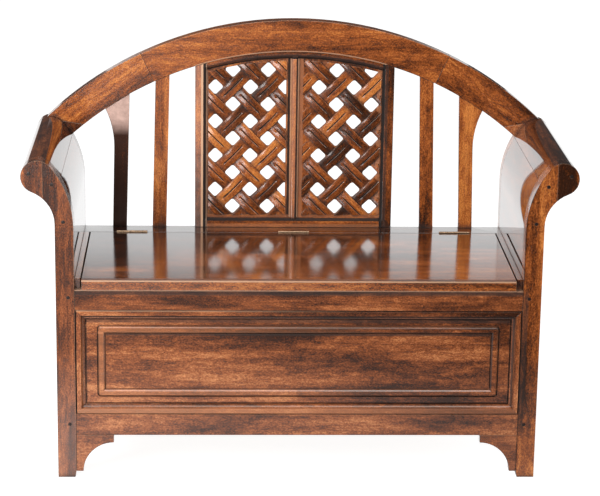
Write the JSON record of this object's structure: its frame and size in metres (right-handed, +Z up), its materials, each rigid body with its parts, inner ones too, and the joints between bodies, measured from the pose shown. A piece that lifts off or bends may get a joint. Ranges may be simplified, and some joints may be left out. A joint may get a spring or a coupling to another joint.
{
  "type": "settle bench",
  "caption": "Open storage bench with scrolled arms, an arched crest rail, plain slats, a woven lattice centre and a hinged seat lid over a panelled chest.",
  "frame": {"origin": "centre of the footprint on the floor, below the middle of the bounding box", "axes": "+Z up, +X along the seat towards the viewer's right, -Y towards the viewer (the front)"},
  "size_m": [1.2258, 0.484, 0.969],
  "materials": {
    "leg_wood": "clear gloss lacquer over red brown stain",
    "rail_wood": "clear gloss lacquer over red brown stain",
    "lid_wood": "high gloss lacquer over red brown stain",
    "crest_wood": "clear gloss lacquer over red brown stain",
    "lattice_wood": "gloss lacquer over orange brown stain",
    "panel_wood": "clear gloss lacquer over red brown stain",
    "inner_wood": "plain unfinished wood",
    "hinge_brass": "dull aged brass"
  },
  "bodies": {
    "bench": {"arm_panel_left": "panel_wood", "arm_panel_right": "panel_wood", "arm_roll_left": "panel_wood", "arm_roll_right": "panel_wood", "back_bottom_rail": "rail_wood", "back_panel": "panel_wood", "back_top_rail": "rail_wood", "chest_floor": "inner_wood", "corner_bracket_left": "rail_wood", "corner_bracket_right": "rail_wood", "crest_left": "crest_wood", "crest_middle": "crest_wood", "crest_right": "crest_wood", "floor_cleat_back": "inner_wood", "floor_cleat_front": "inner_wood", "frame_arch_rail": "crest_wood", "frame_bottom_rail": "crest_wood", "frame_muntin": "crest_wood", "frame_stile_left": "crest_wood", "frame_stile_right": "crest_wood", "front_bottom_rail": "rail_wood", "front_leg_left": "leg_wood", "front_leg_right": "leg_wood", "front_panel": "panel_wood", "front_scroll_left": "leg_wood", "front_scroll_right": "leg_wood", "front_top_rail": "rail_wood", "hinge_leaf_fixed_1": "hinge_brass", "hinge_leaf_fixed_2": "hinge_brass", "hinge_leaf_fixed_3": "hinge_brass", "hinge_pin_1": "hinge_brass", "hinge_pin_2": "hinge_brass", "hinge_pin_3": "hinge_brass", "inner_slat_left": "crest_wood", "inner_slat_right": "crest_wood", "lattice_left": "lattice_wood", "lattice_right": "lattice_wood", "outer_slat_left": "crest_wood", "outer_slat_right": "crest_wood", "panel_moulding_bottom": "rail_wood", "panel_moulding_left": "rail_wood", "panel_moulding_right": "rail_wood", "panel_moulding_top": "rail_wood", "rear_leg_left": "leg_wood", "rear_leg_right": "leg_wood", "seat_cleat_left": "inner_wood", "seat_cleat_right": "inner_wood", "seat_ledge": "lid_wood", "seat_strip_left": "lid_wood", "seat_strip_right": "lid_wood", "side_bottom_rail_left": "rail_wood", "side_bottom_rail_right": "rail_wood", "side_panel_left": "panel_wood", "side_panel_right": "panel_wood", "side_top_rail_left": "rail_wood", "side_top_rail_right": "rail_wood"},
    "lid": {"hinge_leaf_lid_1": "hinge_brass", "hinge_leaf_lid_2": "hinge_brass", "hinge_leaf_lid_3": "hinge_brass", "lid_board": "lid_wood"}
  },
  "joints": [
    {"name": "lid_hinge", "type": "hinge", "parent": "bench", "child": "lid", "pos_m": [0, 0.162, 0.466], "axis": [-1, 0, 0], "range_deg": [0, 96]}
  ]
}
